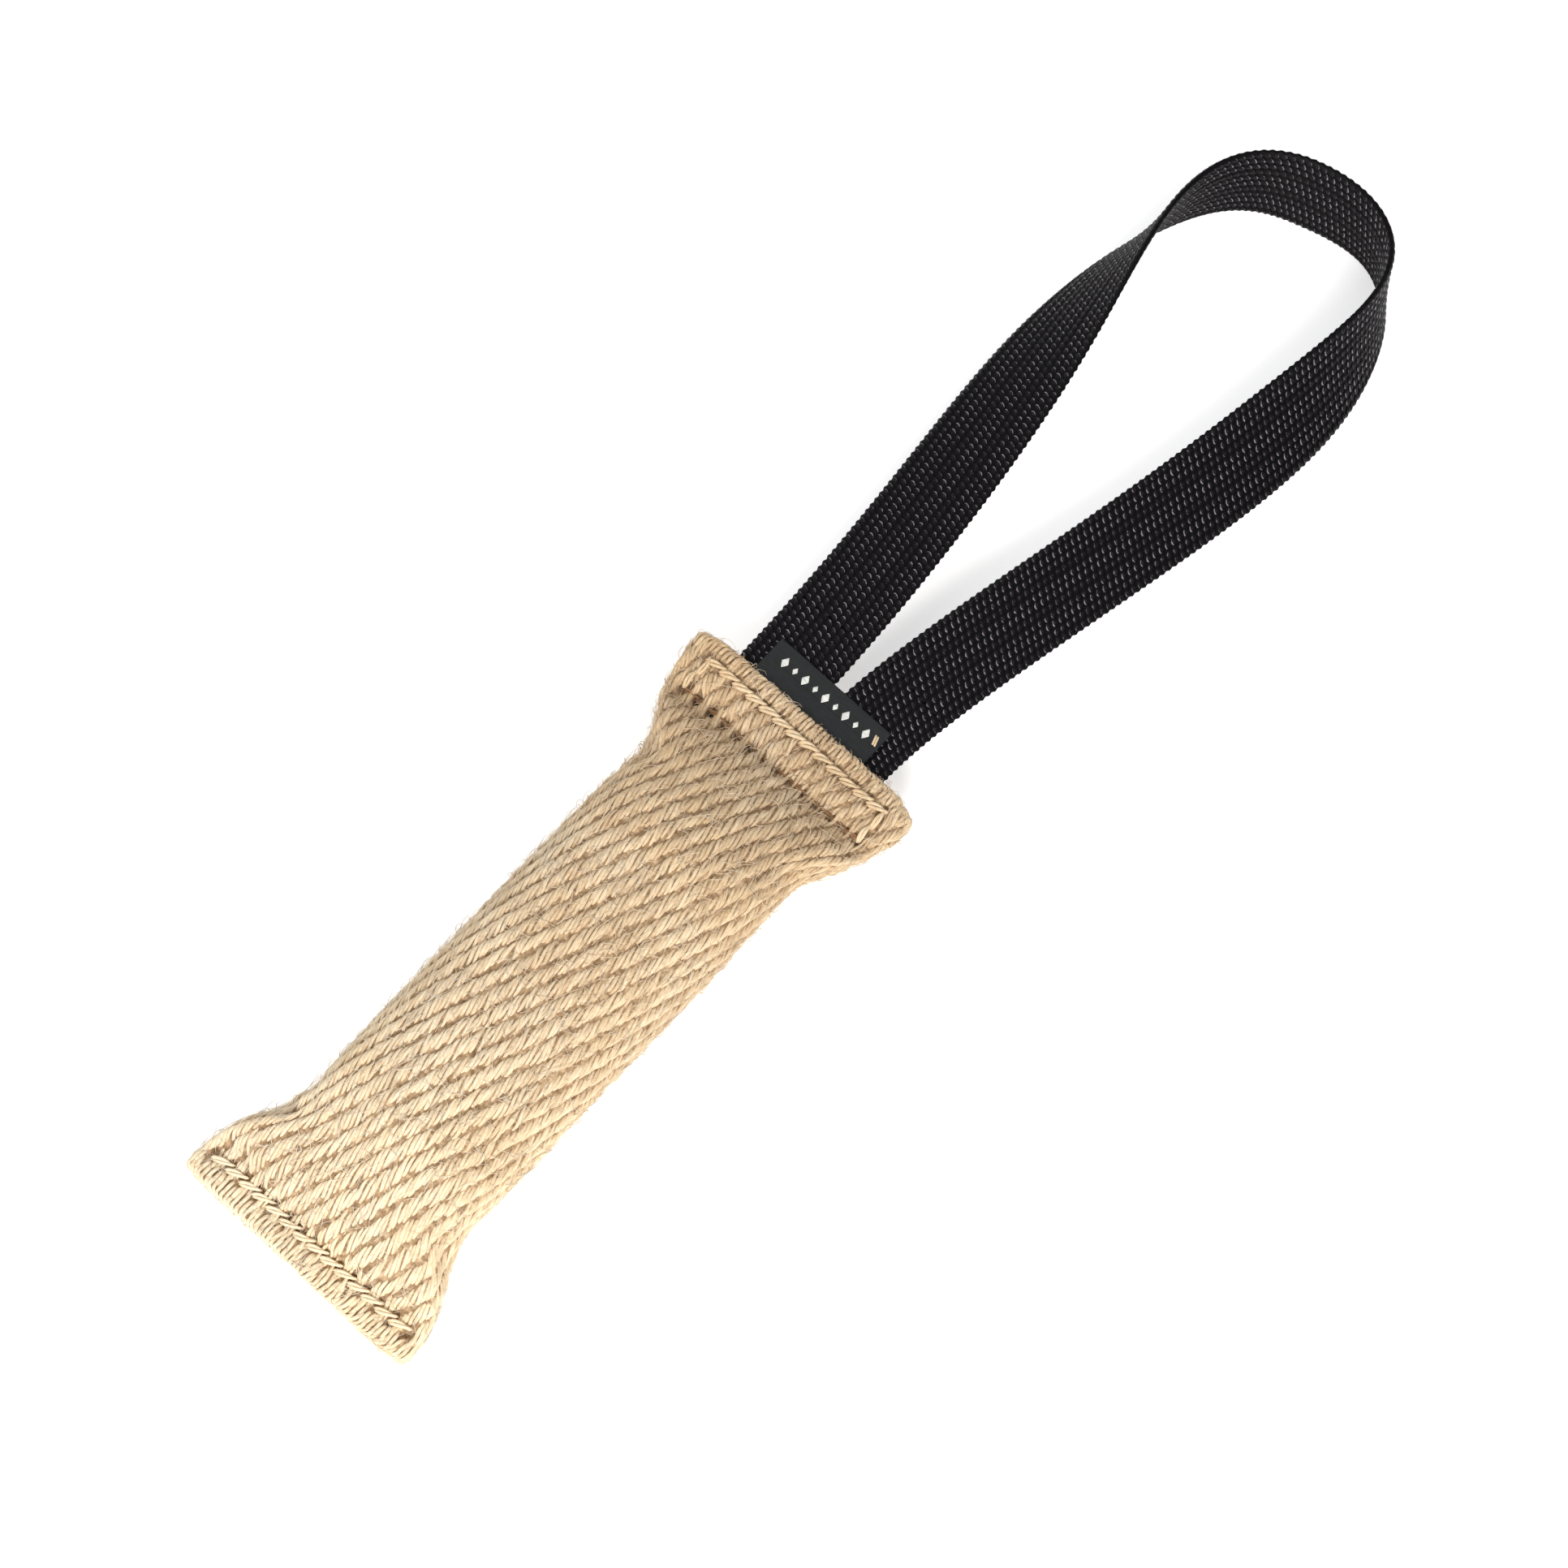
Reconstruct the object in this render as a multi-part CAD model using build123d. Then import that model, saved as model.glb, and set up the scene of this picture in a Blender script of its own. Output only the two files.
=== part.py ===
from build123d import *
import math
import os

os.makedirs("parts", exist_ok=True)

# A stuffed jute training bumper with one webbing loop handle. Millimetres, +Z up.
# The pad lies flat on its back, its length along Y, and the handle leaves it towards +Y.
# The origin is the middle of the flat patch that the pad rests on.

# Pad
PAD_LENGTH = 204.0
END_WIDTH = 79.0
MID_WIDTH = 60.0
MID_THICKNESS = 38.2
HEM_THICKNESS = 9.0
REST_SINK = 0.6
WALL = 3.0
CORE_GAP = 0.4
END_HEIGHT = 15.0

# Distances from the pad's ends
EAR_ROUND = 3.0
LIP_DRAW = 1.6
FLARE_START = 5.0
FLARE_LENGTH = 37.0
FOOT_FLAT = 11.0
HEAD_FLAT = 20.0
PILLOW_RISE = 30.0

# Stitching
STITCH = 4.9
THREAD_R = 0.55
LEG_R = 0.5
KNOT_R = 0.62
THREAD_LIFT = 0.2
THREAD_MEETING = 0.1
HOLE_R = 0.75
FOOT_ROW_IN = 8.0
FOOT_STITCHES = 14
HEAD_ROW_IN = 7.0
HEAD_BOX_DEPTH = 10.0
HEAD_STITCHES = 13

# Side seam, on the back of the pad, its allowances standing inwards
SEAM_FROM = -60.0
SEAM_STITCHES = 24
SEAM_RIB_WIDTH = 6.0
SEAM_RIB_TOP = 9.0
SEAM_THREAD_Z = 6.0

# Webbing
STRAP_WIDTH = 25.0
STRAP_THICKNESS = 2.0
LEG_CENTRES = {"left": -15.0, "right": 13.0}
TAIL_LENGTH = 24.0
LIP_TO_HINGE = 4.0
BEND_FROM_LIP = 50.0
BEND_HINGE_Z = 14.7
HINGE_CLEARANCE = 2.0
HINGE_ROUND = 0.95
LOOP_REACH = 212.0
LOOP_HEIGHT = 12.8
ROLL_AT_TURN = 113.0
ROLL_DELAY = {"left": 1.9, "right": 2.4}
SECTIONS_PER_PIECE = 7
LOOP_SPLIT = 0.72
JOINT_GAP = 0.3

# Label
LABEL_WIDTH = 40.0
LABEL_CENTRE = -1.8
LABEL_REACH = 11.5
LABEL_THICKNESS = 0.8
LABEL_FROM_HINGE = 2.5
LABEL_TAIL = 8.0
TACK_SIZE = 3.0

HALF = PAD_LENGTH / 2
LIP_HINGE_Y = HALF + LIP_TO_HINGE
BEND_HINGE_Y = HALF + BEND_FROM_LIP
TURN = Vector(-4, HALF + LOOP_REACH)
TURN_TANGENT = Vector(47, 16)
STRAP_HANDLES = {
    "left": (Vector(-15.7, HALF + 115), TURN - TURN_TANGENT),
    "right": (Vector(12.0, HALF + 62), TURN + TURN_TANGENT * 1.83),
}


def smooth(low, high, value):
    """Runs from 0 at low to 1 at high, level at both."""
    t = min(max((value - low) / (high - low), 0.0), 1.0)
    return t * t * (3 - 2 * t)


def from_end(y):
    return HALF - abs(y)


def end_rounding(y):
    """How far the folded cloth draws in at the very end of the pad."""
    return LIP_DRAW * (1 - smooth(0, EAR_ROUND, from_end(y)))


def pad_half_width(y):
    d = from_end(y)
    flare = 1 - smooth(FLARE_START, FLARE_START + FLARE_LENGTH, d)
    return MID_WIDTH / 2 + (END_WIDTH - MID_WIDTH) / 2 * flare - end_rounding(y)


def pad_half_thickness(y):
    flat = HEAD_FLAT if y > 0 else FOOT_FLAT
    rise = min(max((from_end(y) - flat) / PILLOW_RISE, 0.0), 1.0)
    bulge = (MID_THICKNESS - HEM_THICKNESS) / 2 * math.sin(rise * math.pi / 2)
    return HEM_THICKNESS / 2 + bulge - end_rounding(y)


def pad_centre_height(y):
    flat = HEAD_FLAT if y > 0 else FOOT_FLAT
    middle = MID_THICKNESS / 2 - REST_SINK
    return END_HEIGHT + (middle - END_HEIGHT) * smooth(flat, flat + PILLOW_RISE, from_end(y))


def pad_squareness(y):
    """The section's superellipse power: an oval pillow in the middle, a flat hem at the ends."""
    flat = HEAD_FLAT if y > 0 else FOOT_FLAT
    return 6.0 - 3.7 * smooth(flat, flat + 22, from_end(y))


def pad_section(y, inset):
    half_x = pad_half_width(y) - inset
    half_z = pad_half_thickness(y) - inset
    power = 2 / pad_squareness(y)
    points = []
    for step in range(32):
        turn = 2 * math.pi * step / 32
        x = half_x * math.copysign(abs(math.cos(turn)) ** power, math.cos(turn))
        z = half_z * math.copysign(abs(math.sin(turn)) ** power, math.sin(turn))
        points.append(Vector(x, y, pad_centre_height(y) + z))
    return make_face(Spline(*points, periodic=True))


def pillow(foot_in, head_in, inset):
    """The pad's form, set in by the given lengths at the ends and by inset at the skin."""
    low = -HALF + foot_in
    high = HALF - head_in
    inner = [-84, -74, -62, -44, -20, 0, 20, 42, 58, 68, 78]
    ends = [-HALF + 3, -HALF + FOOT_FLAT, HALF - HEAD_FLAT, HALF - 8, HALF - 3]
    stations = sorted([low, high] + [y for y in inner + ends if low + 2 < y < high - 2])
    return loft([pad_section(y, inset) for y in stations])


def above_table(solid):
    return solid & Pos(0, 0, 100) * Box(400, 800, 200)


# Needle points of each row of stitches, as x and y

def row_points(count, y):
    return [Vector((i - count / 2) * STITCH, y) for i in range(count + 1)]


def foot_points():
    return row_points(FOOT_STITCHES, -HALF + FOOT_ROW_IN)


def foot_corners():
    return [foot_points()[0], foot_points()[-1]]


def head_corners():
    outer = row_points(HEAD_STITCHES, HALF - HEAD_ROW_IN)
    inner = row_points(HEAD_STITCHES, HALF - HEAD_ROW_IN - HEAD_BOX_DEPTH)
    return [outer[0], outer[-1], inner[-1], inner[0], outer[0]]


def head_box_points():
    middle_y = HALF - HEAD_ROW_IN - HEAD_BOX_DEPTH / 2
    outer = row_points(HEAD_STITCHES, HALF - HEAD_ROW_IN)
    inner = row_points(HEAD_STITCHES, HALF - HEAD_ROW_IN - HEAD_BOX_DEPTH)
    ends = [Vector(p.X, middle_y) for p in (outer[0], outer[-1])]
    return outer + inner + ends


def round_bar(start, end, radius):
    line = end - start
    return Solid.make_cylinder(radius, line.length, Plane(origin=start, z_dir=line.normalized()))


def lockstitch(points, corners, inward, depth):
    """One thread of a seam: bars over the cloth from corner to corner, a leg down every needle hole."""
    pieces = [Pos(*corner) * Sphere(KNOT_R) for corner in corners]
    for start, end in zip(corners, corners[1:]):
        pieces.append(round_bar(start, end, THREAD_R))
    for point in points:
        pieces.append(round_bar(point, point + inward * depth, LEG_R))
    return pieces[0].fuse(*pieces[1:])


def hem_thread(points, corners, side):
    """The needle thread on top of a hem (side +1), or the bobbin thread beneath it (side -1)."""
    depth = HEM_THICKNESS / 2 + THREAD_R + THREAD_LIFT
    lift = Vector(0, 0, END_HEIGHT + side * depth)
    raised = [p + lift for p in points]
    raised_corners = [p + lift for p in corners]
    return lockstitch(raised, raised_corners, Vector(0, 0, -side), depth - THREAD_MEETING)


def needle_holes(points):
    return [Pos(p.X, p.Y, END_HEIGHT) * Cylinder(HOLE_R, 2 * HEM_THICKNESS) for p in points]


# Side seam: two allowances pressed together, sewn through from side to side

def seam_rib(grow):
    length = SEAM_STITCHES * STITCH + 4 + 2 * grow
    centre_y = SEAM_FROM + SEAM_STITCHES * STITCH / 2
    height = SEAM_RIB_TOP + grow - WALL / 2
    centre_z = WALL / 2 + height / 2
    return Pos(0, centre_y, centre_z) * Box(SEAM_RIB_WIDTH + 2 * grow, length, height)


def seam_points():
    return [SEAM_FROM + i * STITCH for i in range(SEAM_STITCHES + 1)]


def side_thread(side):
    """The needle thread (side +1) or the bobbin thread (side -1) of the side seam."""
    depth = SEAM_RIB_WIDTH / 2 + THREAD_R + THREAD_LIFT
    points = [Vector(side * depth, y, SEAM_THREAD_Z) for y in seam_points()]
    return lockstitch(points, [points[0], points[-1]], Vector(-side, 0, 0), depth - THREAD_MEETING)


def seam_holes():
    width = SEAM_RIB_WIDTH + 2
    return [Pos(0, y, SEAM_THREAD_Z) * Rot(0, 90, 0) * Cylinder(HOLE_R, width) for y in seam_points()]


# The strap. Its centre line in plan is one curve a side, from the lip to the turn of the loop.
# It starts flat on its face and rolls onto its edge, and past it at the turn.

def leg_curve(side):
    start = Vector(LEG_CENTRES[side], HALF)
    near, far = STRAP_HANDLES[side]
    return Bezier(start, near, far, TURN)


def strap_section(side, along):
    """The strap's cross-section at a share of the way along one side."""
    curve = leg_curve(side)
    centre = curve @ along
    tangent = curve % along
    outward = Vector(0, 0, 1).cross(tangent) if side == "left" else tangent.cross(Vector(0, 0, 1))
    roll = ROLL_AT_TURN * (1 - math.cos(math.pi * along ** ROLL_DELAY[side])) / 2
    roll = math.radians(roll)
    across = outward * -math.cos(roll) + Vector(0, 0, math.sin(roll))
    height = END_HEIGHT + (LOOP_HEIGHT - END_HEIGHT) * smooth(0, 0.8, along)
    plane = Plane(origin=(centre.X, centre.Y, height), x_dir=across, z_dir=tangent)
    return plane * Rectangle(STRAP_WIDTH, STRAP_THICKNESS)


def strap_at_y(side, y):
    """The share of the way along one side at which the centre line passes y."""
    curve = leg_curve(side)
    low, high = 0.0, 0.9
    for _ in range(30):
        middle = (low + high) / 2
        if (curve @ middle).Y < y:
            low = middle
        else:
            high = middle
    return low


def strap_piece(side, start, end):
    steps = SECTIONS_PER_PIECE - 1
    return loft([strap_section(side, start + (end - start) * i / steps) for i in range(steps + 1)])


def square_end(solid, y, keep_above):
    """Trims a strap piece square across the pad's axis."""
    centre = y + (200 if keep_above else -200)
    return solid & Pos(0, centre, 0) * Box(300, 400, 200)


def rounded_end(x, y, z):
    """The strap's end is a half round about the hinge line, so that the next piece can turn on it."""
    return Pos(x, y, z) * Rot(0, 90, 0) * Cylinder(HINGE_ROUND, STRAP_WIDTH)


def strap_tail(side):
    length = TAIL_LENGTH + LIP_TO_HINGE
    centre_y = LIP_HINGE_Y - length / 2
    tail = Pos(LEG_CENTRES[side], centre_y, END_HEIGHT) * Box(STRAP_WIDTH, length, STRAP_THICKNESS)
    return tail + rounded_end(LEG_CENTRES[side], LIP_HINGE_Y, END_HEIGHT)


def strap_leg(side):
    start = strap_at_y(side, LIP_HINGE_Y + HINGE_CLEARANCE - 1)
    end = strap_at_y(side, BEND_HINGE_Y + 3)
    leg = square_end(strap_piece(side, start, end), LIP_HINGE_Y + HINGE_CLEARANCE, True)
    leg = square_end(leg, BEND_HINGE_Y, False)
    far = leg_curve(side) @ strap_at_y(side, BEND_HINGE_Y)
    return leg + rounded_end(far.X, BEND_HINGE_Y, BEND_HINGE_Z)


def loop_side(side):
    start = strap_at_y(side, BEND_HINGE_Y)
    piece = strap_piece(side, start, LOOP_SPLIT)
    return square_end(piece, BEND_HINGE_Y + HINGE_CLEARANCE, True)


def loop_turn(side):
    return strap_piece(side, LOOP_SPLIT, 1.0)


def seam_label():
    """A thin plate over both legs. Its near end is rounded about the line that it flips on."""
    low = LIP_HINGE_Y + LABEL_FROM_HINGE
    high = HALF + LABEL_REACH
    z = END_HEIGHT + STRAP_THICKNESS / 2 + JOINT_GAP + LABEL_THICKNESS / 2
    plate = Pos(LABEL_CENTRE, (low + high) / 2, z) * Box(LABEL_WIDTH, high - low, LABEL_THICKNESS)
    return plate + Pos(LABEL_CENTRE, low, z) * Rot(0, 90, 0) * Cylinder(LABEL_THICKNESS / 2, LABEL_WIDTH)


def label_tail():
    high = HALF
    low = HALF - LABEL_TAIL
    z = END_HEIGHT + STRAP_THICKNESS / 2 + LABEL_THICKNESS / 2
    return Pos(LABEL_CENTRE, (low + high) / 2, z) * Box(LABEL_WIDTH, high - low, LABEL_THICKNESS)


def label_tack_thread():
    z = END_HEIGHT + STRAP_THICKNESS / 2 + JOINT_GAP + LABEL_THICKNESS + THREAD_R / 2 + 0.03
    x = LABEL_CENTRE + LABEL_WIDTH / 2 - 1.5
    start = Vector(x, LIP_HINGE_Y + LABEL_FROM_HINGE, z)
    return round_bar(start, start + Vector(-1.2, TACK_SIZE, 0), THREAD_R / 2)


def jute_cover(cutters):
    shell = above_table(pillow(0, 0, 0))
    hollow = pillow(FOOT_FLAT + 2, HEAD_FLAT + 3, WALL)
    cover = shell - hollow + seam_rib(0)
    for cutter in cutters:
        cover = cover - cutter
    return cover


def stuffing_core():
    core = pillow(FOOT_FLAT + 3, HEAD_FLAT + 4, WALL + CORE_GAP)
    return core - seam_rib(2 * THREAD_R + THREAD_LIFT + CORE_GAP)


def build():
    holes = needle_holes(head_box_points()) + needle_holes(foot_points())
    tails = {side: strap_tail(side) for side in LEG_CENTRES}
    label_end = label_tail()
    parts = {
        "jute_cover": jute_cover(list(tails.values()) + [label_end] + holes + seam_holes()),
        "stuffing_core": stuffing_core(),
        "side_needle_thread": side_thread(1),
        "side_bobbin_thread": side_thread(-1),
        "head_needle_thread": hem_thread(head_box_points(), head_corners(), 1),
        "head_bobbin_thread": hem_thread(head_box_points(), head_corners(), -1),
        "foot_needle_thread": hem_thread(foot_points(), foot_corners(), 1),
        "foot_bobbin_thread": hem_thread(foot_points(), foot_corners(), -1),
        "label_tail": label_end - needle_holes(head_box_points()),
        "seam_label": seam_label(),
        "label_tack_thread": label_tack_thread(),
    }
    for side, tail in tails.items():
        parts[f"strap_tail_{side}"] = tail - needle_holes(head_box_points())
        parts[f"strap_leg_{side}"] = strap_leg(side)
        parts[f"strap_loop_{side}"] = loop_side(side)
        parts[f"strap_turn_{side}"] = loop_turn(side)
    return parts


for name, shape in build().items():
    print(name, round(shape.volume, 1), len(shape.solids()), shape.is_valid)
    export_step(shape, f"parts/{name}.step")
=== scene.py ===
import functools
import math

import bpy
import numpy as np
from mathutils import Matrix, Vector


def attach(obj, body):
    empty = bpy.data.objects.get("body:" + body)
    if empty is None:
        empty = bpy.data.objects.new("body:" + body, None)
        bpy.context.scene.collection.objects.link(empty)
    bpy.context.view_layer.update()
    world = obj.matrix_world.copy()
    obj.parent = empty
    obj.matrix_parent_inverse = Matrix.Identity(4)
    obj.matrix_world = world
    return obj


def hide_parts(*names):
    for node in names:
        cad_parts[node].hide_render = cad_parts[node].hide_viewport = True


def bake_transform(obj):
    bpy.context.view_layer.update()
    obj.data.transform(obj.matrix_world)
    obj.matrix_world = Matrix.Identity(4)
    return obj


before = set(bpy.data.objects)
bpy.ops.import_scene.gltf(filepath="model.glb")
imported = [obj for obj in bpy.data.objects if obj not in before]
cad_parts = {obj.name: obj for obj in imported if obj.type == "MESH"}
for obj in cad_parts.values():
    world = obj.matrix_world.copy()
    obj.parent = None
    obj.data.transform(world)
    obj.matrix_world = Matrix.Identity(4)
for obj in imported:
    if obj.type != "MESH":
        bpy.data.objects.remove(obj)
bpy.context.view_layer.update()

# A stuffed jute training bumper with a webbing loop handle. Shapes are worked out in millimetres
# in the frame's axes and become metres where a mesh is made.
MM = 0.001
rng = np.random.default_rng(11)

# ---------------------------------------------------------------- sizes, as in the CAD model
HALF = 102.0
END_WIDTH, MID_WIDTH, MID_THICKNESS = 79.0, 60.0, 38.2
HEM_THICKNESS, END_HEIGHT, REST_SINK = 9.0, 15.0, 0.6
FLARE_START, FLARE_LENGTH = 5.0, 37.0
FOOT_FLAT, HEAD_FLAT, PILLOW_RISE = 11.0, 20.0, 40.0
STITCH = 4.9
FOOT_ROW_Y, HEAD_OUTER_Y, HEAD_INNER_Y = -94.0, 95.0, 85.0
FOOT_STITCHES, HEAD_STITCHES = 14, 13
HEAD_END_X = HEAD_STITCHES * STITCH / 2     # the two short rows that close the head's box
STITCH_OVERLAP = 0.1    # how far a stitch runs past its holes, as a share of its length

# The cloth: a tube of jute twill, sewn along its back
GIRTH = 160.0
FOLD_R = 1.9            # the rolled fold of each lip
CREASE_HALF = 0.9       # half the opening between the two lips
CREASE_IN = 5.0         # how deep that opening goes
RIDGE_PITCH = 4.7
RIDGE_ANGLE = math.radians(24)
STRAND_STEP = 1.75
STRAND_REACH = 3.4      # half the length of a strand along its ridge
STRAND_CROSS = 1.75     # half its travel across the ridge
STRAND_R = 0.57
BASE_DEPTH = 1.6        # how far the cloth's gaps lie below its outer surface
RIDGE_RELIEF = 0.95     # how much of that depth the cloth regains under a ridge
FUZZ_COUNT = 5400
HEM_FROM = {"foot": -96.5, "head": 98.0}    # beyond these, strands run over the folds
HEM_STEP, HEM_REACH = 1.35, 2.6
HEM_ROUNDS = (97.6, 100.6, 104.2)           # where along the cloth those strands lie

# The cloth simulation, run on a coarse tube ten times the real size
CAGE_AROUND, CAGE_STEP, CAGE_SCALE = 48, 4.6, 10
CAGE_FRAMES = 20
MOVE_CAP = 2.2          # the furthest that any point may move
HELD_FROM = {"foot": 93.0, "head": 83.0}    # how far from the middle each sewn end is held

# Each stitch row: where it lies, half its length, how deep it pulls the cloth in, over what
# width, and how deep its needle holes go
SEAMS = (
    (FOOT_ROW_Y, 36, 1.3, 1.5, 1.7),
    (HEAD_OUTER_Y, 33, 0.55, 1.3, 1.3),
    (HEAD_INNER_Y, 33, 1.25, 1.7, 2.4),
)

# The strap
STRAP_WIDTH = 25.0
STRAP_CORE, FLOAT_RISE = 0.25, 0.55         # half the plain thickness, and the floats' height
STRAP_COLUMNS = 52      # points across one face
LEG_X = {"left": -15.0, "right": 13.0}
TAIL_LENGTH = 24.0
TURN = np.array([-4.0, 314.0])
TURN_TANGENT = np.array([47.0, 16.0])
HANDLES = {
    "left": (np.array([-15.7, 217.0]), TURN - TURN_TANGENT),
    "right": (np.array([12.0, 164.0]), TURN + 1.83 * TURN_TANGENT),
}
ROLL_AT_TURN, ROLL_DELAY = math.radians(113), {"left": 1.9, "right": 2.4}
LOOP_HEIGHT = 12.8
SPLIT_Y = 127.0
BEAD = STRAP_WIDTH / 11  # one column of the webbing's weave
BEAT = BEAD * 0.96      # one float along it
FLOAT_SLANT = 0.18

# The label: a folded ribbon over both legs
LABEL_CENTRE, LABEL_WIDTH, LABEL_FROM, LABEL_TO = -1.8, 40.0, 99.0, 113.5
LABEL_LOW, LABEL_SPLIT = 16.35, 107.6
FOLD_GAP, RIBBON = 0.42, 0.3
LABEL_TOP = FOLD_GAP / 2 + RIBBON / 2
LOZENGES, LOZENGE_PITCH, LOZENGE_Y = 9, 3.7, 109.0
TACK_Y, TACK_LENGTH = 108.0, 2.6


def smooth(low, high, value):
    """0 below low, 1 above high, with a smooth rise between them."""
    t = np.clip((value - low) / (high - low), 0, 1)
    return t * t * (3 - 2 * t)


# ---------------------------------------------------------------- camera, light and floor

def build_camera():
    """Looks down on the pad with its handle towards the upper right."""
    azimuth, elevation, roll = math.radians(57.76), math.radians(74.12), math.radians(10.43)
    aim, distance, lens = Vector((3.74, 87.4, 0)) * MM, 1260.6 * MM, 105.46
    right = Vector((math.sin(azimuth), math.cos(azimuth), 0))
    ahead = Vector((-math.cos(azimuth), math.sin(azimuth), 0))
    back = ahead * -math.cos(elevation) + Vector((0, 0, math.sin(elevation)))
    up = ahead * math.sin(elevation) + Vector((0, 0, math.cos(elevation)))
    across = right * math.cos(roll) + up * math.sin(roll)
    upright = up * math.cos(roll) - right * math.sin(roll)
    data = bpy.data.cameras.new("camera")
    data.lens, data.sensor_width = lens, 36.0
    camera = bpy.data.objects.new("camera", data)
    bpy.context.scene.collection.objects.link(camera)
    place = aim + back * distance
    matrix = camera.matrix_world.copy()
    for axis in range(3):
        matrix[axis][0], matrix[axis][1] = across[axis], upright[axis]
        matrix[axis][2], matrix[axis][3] = back[axis], place[axis]
    camera.matrix_world = matrix
    bpy.context.scene.camera = camera


def area_light(name, place, size, power, colour):
    """A square lamp aimed at the object."""
    data = bpy.data.lights.new(name, "AREA")
    data.size, data.energy, data.color = size, power, colour
    light = bpy.data.objects.new(name, data)
    light.location = place
    aim = Vector((0, 0.09, 0)) - Vector(place)
    light.rotation_euler = aim.to_track_quat("-Z", "Y").to_euler()
    bpy.context.scene.collection.objects.link(light)


def build_studio():
    """A white surround, one key light near the foot, a weak fill and a pale floor."""
    world = bpy.data.worlds.new("studio")
    bpy.context.scene.world = world
    world.use_nodes = True
    background = world.node_tree.nodes["Background"]
    background.inputs["Color"].default_value = (1, 1, 1, 1)
    background.inputs["Strength"].default_value = 0.55
    area_light("key", (0.5, -0.62, 0.8), 0.45, 11.6, (1.0, 0.98, 0.95))
    area_light("fill", (-1.0, 0.6, 1.3), 1.2, 5.0, (0.95, 0.97, 1.0))
    bpy.context.scene.view_settings.view_transform = "Standard"
    side, level = 3.0, -0.0002
    corners = [(-side, -side, level), (side, -side, level), (side, side, level),
               (-side, side, level)]
    mesh = bpy.data.meshes.new("floor")
    mesh.from_pydata(corners, [], [(0, 1, 2, 3)])
    floor = bpy.data.objects.new("floor", mesh)
    bpy.context.scene.collection.objects.link(floor)
    material, shader, _ = new_material("pale_floor")
    shader.inputs["Base Color"].default_value = (0.93, 0.93, 0.93, 1)
    shader.inputs["Roughness"].default_value = 0.9
    shader.inputs["Emission Color"].default_value = (1, 1, 1, 1)
    shader.inputs["Emission Strength"].default_value = 0.5
    mesh.materials.append(material)


# ---------------------------------------------------------------- node helpers

def new_material(name):
    """A material with its shader and its node tree."""
    material = bpy.data.materials.new(name)
    material.use_nodes = True
    tree = material.node_tree
    return material, tree.nodes["Principled BSDF"], tree


def node(tree, kind, inputs=None, **settings):
    """Adds a node. Each input is a value or the socket that feeds it."""
    made = tree.nodes.new(kind)
    for key, value in settings.items():
        setattr(made, key, value)
    for key, value in (inputs or {}).items():
        if isinstance(value, bpy.types.NodeSocket):
            tree.links.new(value, made.inputs[key])
        else:
            made.inputs[key].default_value = value
    return made


def math_node(tree, operation, *values):
    """The result of one Math node, each value a number or a socket."""
    return node(tree, "ShaderNodeMath", dict(enumerate(values)), operation=operation).outputs[0]


def ramp(tree, factor, stops):
    """A colour ramp through the stops, each a place and a colour."""
    made = node(tree, "ShaderNodeValToRGB", {"Fac": factor})
    elements = made.color_ramp.elements
    while len(elements) < len(stops):
        elements.new(0.5)
    for element, (place, colour) in zip(elements, stops):
        element.position, element.color = place, (*colour, 1)
    return made.outputs["Color"]


def mix(tree, factor, a, b, blend_type="MIX"):
    """Two colours mixed, each a socket or a triple."""
    made = tree.nodes.new("ShaderNodeMix")
    made.data_type, made.blend_type = "RGBA", blend_type
    for key, value in ((0, factor), (6, a), (7, b)):
        if isinstance(value, bpy.types.NodeSocket):
            tree.links.new(value, made.inputs[key])
        else:
            made.inputs[key].default_value = value if key == 0 else (*value, 1)
    return made.outputs[2]


def noise(tree, vector, scale, detail=3.0, roughness=0.55):
    return node(tree, "ShaderNodeTexNoise", {"Vector": vector, "Scale": scale, "Detail": detail,
                                             "Roughness": roughness}).outputs["Fac"]


def stretched(tree, vector, scale):
    """The vector scaled along each axis, which draws a texture out along the small ones."""
    return node(tree, "ShaderNodeMapping", {"Vector": vector, "Scale": scale}).outputs["Vector"]


def add_bump(tree, shader, height, strength, distance):
    """Fine relief under what the mesh shows. distance is in millimetres."""
    bump = node(tree, "ShaderNodeBump", {"Height": height, "Strength": strength,
                                         "Distance": distance * MM})
    tree.links.new(bump.outputs["Normal"], shader.inputs["Normal"])


# ---------------------------------------------------------------- materials

def srgb(r, g, b):
    """A colour of 0 to 255 as the linear values that shaders take."""
    return tuple(((c / 255 + 0.055) / 1.055) ** 2.4 for c in (r, g, b))


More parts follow.
